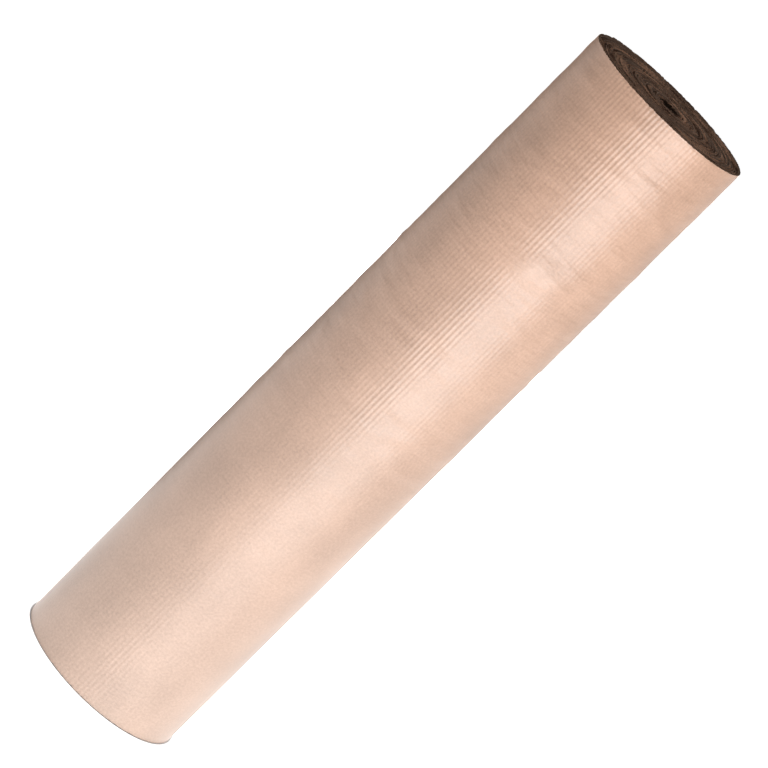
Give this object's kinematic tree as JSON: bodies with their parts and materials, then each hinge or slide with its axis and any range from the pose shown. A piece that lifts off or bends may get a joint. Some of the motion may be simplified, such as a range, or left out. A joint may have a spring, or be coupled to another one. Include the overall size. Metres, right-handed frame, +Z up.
{
  "type": "corrugated board roll",
  "caption": "Standing coreless roll of single-face corrugated kraft board, smooth liner outwards, with a free end that unrolls and is held by tape strips.",
  "frame": {"origin": "centre of the end that the roll stands on, at floor level", "axes": "+Z up along the roll's axis, the long way; the side that faces -Y is the plain side, and the free end and its tapes are at the back, +Y"},
  "size_m": [0.2343, 0.2358, 1],
  "materials": {
    "kraft_liner": "matte",
    "kraft_medium": "matte",
    "corrugated_board": "matte",
    "gummed_tape": "satin"
  },
  "bodies": {
    "roll": {"core_turns": "corrugated_board", "inner_turns": "corrugated_board", "middle_turns": "corrugated_board", "outer_turns": "corrugated_board", "liner_last_turn": "kraft_liner", "fluting_last_turn": "kraft_medium"},
    "panel_1": {"liner_panel_1": "kraft_liner", "fluting_panel_1": "kraft_medium"},
    "panel_2": {"liner_panel_2": "kraft_liner", "fluting_panel_2": "kraft_medium"},
    "panel_3": {"liner_panel_3": "kraft_liner", "fluting_panel_3": "kraft_medium"},
    "panel_4": {"liner_panel_4": "kraft_liner", "fluting_panel_4": "kraft_medium"},
    "panel_5": {"liner_panel_5": "kraft_liner", "fluting_panel_5": "kraft_medium"},
    "panel_6": {"liner_panel_6": "kraft_liner", "fluting_panel_6": "kraft_medium", "closing_tape_bottom": "gummed_tape", "closing_tape_middle": "gummed_tape", "closing_tape_top": "gummed_tape"}
  },
  "joints": [
    {"name": "unroll_1", "type": "hinge", "parent": "roll", "child": "panel_1", "pos_m": [0.10329, 0.05733, 0.5], "axis": [0, 0, -1], "range_deg": [0, 20.32]},
    {"name": "unroll_2", "type": "hinge", "parent": "panel_1", "child": "panel_2", "pos_m": [0.07705, 0.08975, 0.5], "axis": [0, 0, -1], "range_deg": [0, 20.32]},
    {"name": "unroll_3", "type": "hinge", "parent": "panel_2", "child": "panel_3", "pos_m": [0.04114, 0.11107, 0.5], "axis": [0, 0, -1], "range_deg": [0, 20.32]},
    {"name": "unroll_4", "type": "hinge", "parent": "panel_3", "child": "panel_4", "pos_m": [0, 0.11861, 0.5], "axis": [0, 0, -1], "range_deg": [0, 20.32]},
    {"name": "unroll_5", "type": "hinge", "parent": "panel_4", "child": "panel_5", "pos_m": [-0.04125, 0.11138, 0.5], "axis": [0, 0, -1], "range_deg": [0, 20.32]},
    {"name": "unroll_6", "type": "hinge", "parent": "panel_5", "child": "panel_6", "pos_m": [-0.07747, 0.09024, 0.5], "axis": [0, 0, -1], "range_deg": [0, 20.32]}
  ],
  "couplings": [
    {"joint": "unroll_2", "follows": "unroll_1", "ratio": 1},
    {"joint": "unroll_3", "follows": "unroll_1", "ratio": 1},
    {"joint": "unroll_4", "follows": "unroll_1", "ratio": 1},
    {"joint": "unroll_5", "follows": "unroll_1", "ratio": 1},
    {"joint": "unroll_6", "follows": "unroll_1", "ratio": 1}
  ]
}
